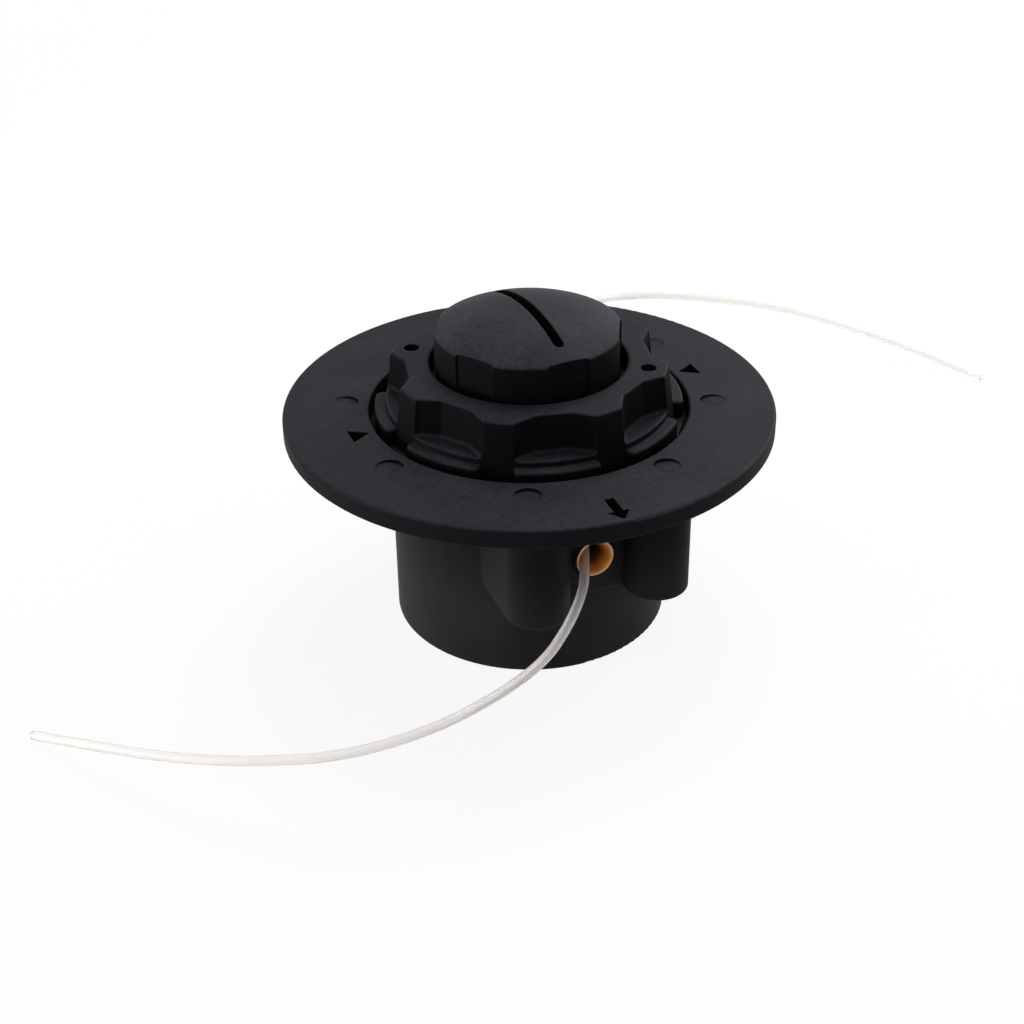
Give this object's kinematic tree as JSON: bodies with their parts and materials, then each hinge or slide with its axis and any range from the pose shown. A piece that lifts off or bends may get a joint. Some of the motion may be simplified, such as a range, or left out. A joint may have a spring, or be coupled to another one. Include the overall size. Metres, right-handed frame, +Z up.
{
  "type": "bump feed trimmer head",
  "caption": "Round line trimmer head: drum with a wide flange, lobed twist-off cap, sprung domed bump knob over a line spool, and nylon line led out through metal eyelets between guards.",
  "frame": {"origin": "centre of the drum's foot, on the surface that it stands on", "axes": "+Z up the spin axis to the bump knob, -Y towards the front line eyelet"},
  "size_m": [0.2704, 0.1704, 0.0716],
  "materials": {
    "housing_plastic": "fine matte moulded texture",
    "cap_plastic": "fine matte moulded texture",
    "knob_plastic": "satin moulded texture",
    "spool_plastic": "moulded",
    "steel": "zinc plated",
    "spring_steel": "drawn wire",
    "eyelet_metal": "satin",
    "nylon_line": "milky satin"
  },
  "bodies": {
    "housing": {"housing": "housing_plastic", "drive_insert": "steel", "line_eyelet_front": "eyelet_metal", "line_eyelet_rear": "eyelet_metal", "feed_spring": "spring_steel", "line_tail_front": "nylon_line", "line_tail_rear": "nylon_line"},
    "spring_seat": {"thrust_washer": "steel"},
    "spool": {"spool": "spool_plastic", "bump_knob": "knob_plastic", "line_winding_upper": "nylon_line", "line_winding_lower": "nylon_line"},
    "cap": {"cap_ring": "cap_plastic"}
  },
  "joints": [
    {"name": "bump_slide", "type": "slide", "parent": "housing", "child": "spring_seat", "axis": [0, 0, -1], "range_m": [0, 0.005], "stiffness_N_per_m": 1500, "springref_m": -0.008, "deforming": ["feed_spring"]},
    {"name": "spool_spin", "type": "hinge", "parent": "spring_seat", "child": "spool", "pos_m": [0, 0, 0.03], "axis": [0, 0, 1], "continuous": true},
    {"name": "cap_twist", "type": "hinge", "parent": "housing", "child": "cap", "pos_m": [0, 0, 0.05], "axis": [0, 0, 1], "range_deg": [0, 35]}
  ]
}
